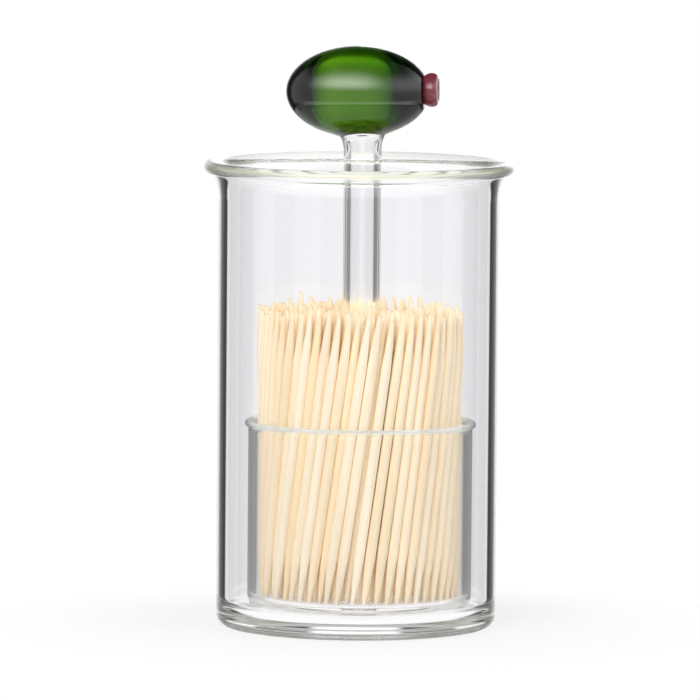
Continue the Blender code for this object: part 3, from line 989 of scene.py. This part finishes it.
def wood_material():
    """Cream wood whose tone follows each toothpick and whose streaks follow its grain."""
    material = bpy.data.materials.new("pale wood")
    material.use_nodes = True
    tree = material.node_tree
    tree.nodes.clear()
    tone = add_node(tree, "ShaderNodeAttribute", attribute_name="tone").outputs["Fac"]
    grain = add_node(tree, "ShaderNodeAttribute", attribute_name="grain").outputs["Vector"]
    scale = (GRAIN_SCALE, GRAIN_SCALE, GRAIN_SCALE * GRAIN_STRETCH)
    stretch = add_node(tree, "ShaderNodeMapping", {"Vector": grain, "Scale": scale}).outputs[0]
    streak = add_node(tree, "ShaderNodeTexNoise", {"Vector": stretch, **GRAIN_NOISE}).outputs["Fac"]
    body = ramp_node(tree, tone, WOOD_TONES)
    low, high = GRAIN_SHARES
    shade = add_node(tree, "ShaderNodeMapRange", {0: streak, 1: low, 2: high, 4: GRAIN_SHADE}).outputs[0]
    colour = mix_colours(tree, shade, body, (*WOOD_TAN, 1))
    relief = {"Strength": GRAIN_BUMP, "Distance": GRAIN_DEPTH, "Height": streak}
    bump = add_node(tree, "ShaderNodeBump", relief).outputs[0]
    look = {"Base Color": colour, "Roughness": WOOD_ROUGHNESS, "Normal": bump, "Specular IOR Level": WOOD_SPECULAR}
    wood = add_node(tree, "ShaderNodeBsdfPrincipled", look)
    add_node(tree, "ShaderNodeOutputMaterial", {"Surface": wood.outputs[0]})
    print("Made", material.name)
    return material


wood_finish = wood_material()

# %% [markdown]
# The toothpicks
#
# One toothpick is a spindle with nine sides: a shank and two blunt points. All of them are worked out in one array,
# each spindle carried along its own slightly bowed line. The seven loose ones are pieces of their own, because each
# slides out by itself.

# %% Make the toothpicks
SPINDLE_SIDES = 9
SPINDLE_TAPER = 0.0105
SPINDLE_RINGS = (0.0, 0.0003, 0.0025, 0.0055, SPINDLE_TAPER)
SPINDLE_POINT = 0.00034
SPINDLE_TIP_SHARE = 0.6
SPINDLE_SLIMMING = 1.3
SPINDLE_BOW = 0.00014
LENGTH_JITTER = 0.0008
SINK_JITTER = 0.0006


def spindle_shares():
    """Heights of the spindle's rings, in metres from the nearer end, and their radii as shares."""
    near = np.array(SPINDLE_RINGS)
    point = SPINDLE_POINT / PICK_RADIUS
    radius = point + (1 - point) * (1 - (1 - near / SPINDLE_TAPER) ** SPINDLE_SLIMMING)
    radius[0] *= SPINDLE_TIP_SHARE
    return near, radius


def spindle_points(feet, tops, lengths, bows, bow_angles):
    """Rings of every spindle: the place along the line, plus a bow that is widest at its middle, plus the radius
    times the cosine and sine of the angle, square to the line."""
    near, radius = spindle_shares()
    line = tops - feet
    line /= np.linalg.norm(line, axis=1)[:, None]
    side = np.cross(line, [0.0, 1.0, 0.0])
    side /= np.linalg.norm(side, axis=1)[:, None]
    front = np.cross(line, side)
    along = np.concatenate([near[None] + 0 * lengths[:, None], lengths[:, None] - near[None, ::-1]], axis=1)
    radii = np.concatenate([radius, radius[::-1]]) * PICK_RADIUS
    bend = np.sin(np.pi * along / lengths[:, None]) * bows[:, None]
    sway = side * np.cos(bow_angles)[:, None] + front * np.sin(bow_angles)[:, None]
    centre = feet[:, None] + line[:, None] * along[..., None] + sway[:, None] * bend[..., None]
    angle = np.linspace(0, 2 * np.pi, SPINDLE_SIDES, endpoint=False)
    across = side[:, None, None] * np.cos(angle)[:, None] + front[:, None, None] * np.sin(angle)[:, None]
    return centre[:, :, None] + across * radii[:, None, None], along, radii, angle


def spindle_faces(rings):
    """Faces of one spindle: quads between its rings and one flat face over each end ring."""
    quads = grid_faces(rings, SPINDLE_SIDES).tolist()
    last = (rings - 1) * SPINDLE_SIDES
    ends = [list(range(SPINDLE_SIDES))[::-1], list(range(last, last + SPINDLE_SIDES))]
    return [face[::-1] for face in quads], ends


def make_toothpicks(name, chosen, body, nodes):
    """One piece of the chosen toothpicks, with their tones and grain coordinates as attributes."""
    points, along, radii, angle = spindle_points(
        feet_3d[chosen], tops_3d[chosen], pick_lengths[chosen], pick_bows[chosen], pick_bow_angles[chosen]
    )
    rings = along.shape[1]
    per_pick = rings * SPINDLE_SIDES
    quads, ends = spindle_faces(rings)
    faces = [[corner + k * per_pick for corner in face] for k in range(len(chosen)) for face in quads + ends]
    mesh = bpy.data.meshes.new(name)
    mesh.from_pydata(points.reshape(-1, 3).tolist(), [], faces)
    mesh.shade_smooth()
    tones = np.repeat(pick_tones[chosen], per_pick)
    seeds = pick_seeds[chosen][:, None, None] + 0 * along[..., None]
    across = radii[None, :, None] * np.cos(angle)[None, None] + seeds
    depth = radii[None, :, None] * np.sin(angle)[None, None] + seeds
    length = along[..., None] + 0 * across
    grain = np.stack([across, depth, length], axis=-1)
    mesh.attributes.new("tone", "FLOAT", "POINT").data.foreach_set("value", tones.astype(np.float32))
    mesh.attributes.new("grain", "FLOAT_VECTOR", "POINT").data.foreach_set("vector", grain.ravel().astype(np.float32))
    piece = bpy.data.objects.new(name, mesh)
    bpy.context.scene.collection.objects.link(piece)
    mesh.materials.append(wood_finish)
    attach(piece, body)
    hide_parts(*nodes)
    print(name, "has", len(chosen), "toothpicks and", len(faces), "faces")


total = len(pick_feet)
sink = rng.uniform(0, SINK_JITTER, total)
feet_3d = np.column_stack([pick_feet, pick_foot_height + sink])
tops_3d = np.column_stack([pick_tops, np.full(total, pick_foot_height + pick_height)])
pick_lengths = np.linalg.norm(tops_3d - feet_3d, axis=1) + rng.normal(0, LENGTH_JITTER, total)
pick_bows = rng.uniform(0, SPINDLE_BOW, total)
pick_bow_angles = rng.uniform(0, 2 * np.pi, total)
pick_tones = rng.uniform(0, 1, total)
pick_seeds = rng.uniform(0, 1, total)
cup_nodes = frame["record"]["behaviour"]["bodies"]["cup"]
bundle_nodes = [node for node in cup_nodes if node.startswith("pick")]
make_toothpicks("toothpicks", np.arange(len(loose_nodes), total), "cup", bundle_nodes)
for number, node in enumerate(loose_nodes):
    make_toothpicks(f"loose_tooth{node}", np.array([number]), f"loose_{node}", [node])

# %% [markdown]
# The floor
#
# The holder stands on plain white paper. For the eye the paper has a glow of its own, painted light that leaves only
# a trace of its shadow. The paper fades to the white of the room before its edge, so that no line shows where it
# ends. Rays inside the glass pass it by and meet the world's white, which is the same white.

# %% Lay the floor
FLOOR_RADIUS = 0.13
FLOOR_DROP = 0.0002
FLOOR_FADE_START = 0.035
FLOOR_FADE_END = 0.09
FLOOR_WHITE = (0.93, 0.93, 0.93, 1)
# Painted light: the paper's own glow for the eye, which lifts its shadow near the glass.
FLOOR_OWN_LIGHT = 0.7
FLOOR_RINGS = 8
FLOOR_SIDES = 96


def floor_material():
    """Paper with much light of its own near the glass and plain white light further out, for what the eye sees."""
    material = bpy.data.materials.new("white paper")
    material.use_nodes = True
    tree = material.node_tree
    tree.nodes.clear()
    distance = add_node(tree, "ShaderNodeVectorMath", {0: object_place(tree)}, operation="LENGTH").outputs["Value"]
    fade = smooth_step(tree, distance, FLOOR_FADE_START, FLOOR_FADE_END)
    path = add_node(tree, "ShaderNodeLightPath")
    share = multiply(tree, mix_levels(tree, fade, FLOOR_OWN_LIGHT, 1.0), path.outputs["Is Camera Ray"])
    paper = add_node(tree, "ShaderNodeBsdfDiffuse", {"Color": FLOOR_WHITE})
    light = add_node(tree, "ShaderNodeEmission", {"Color": WHITE, "Strength": 1.0})
    mix = add_node(tree, "ShaderNodeMixShader", {0: share, 1: paper.outputs[0], 2: light.outputs[0]})
    add_node(tree, "ShaderNodeOutputMaterial", {"Surface": mix.outputs[0]})
    return material


def lay_floor():
    """A round sheet of paper just under the foot, in rings from its middle."""
    radius = np.linspace(0, FLOOR_RADIUS, FLOOR_RINGS)
    profile = np.stack([radius, 0 * radius - FLOOR_DROP], axis=1)
    floor = make_surface("floor", turn_profile(profile, FLOOR_SIDES), grid_faces(len(profile), FLOOR_SIDES))
    floor.data.materials.append(floor_material())
    floor.visible_glossy = False
    floor.visible_transmission = False
    print("The floor is", 2 * FLOOR_RADIUS, "m across")


lay_floor()
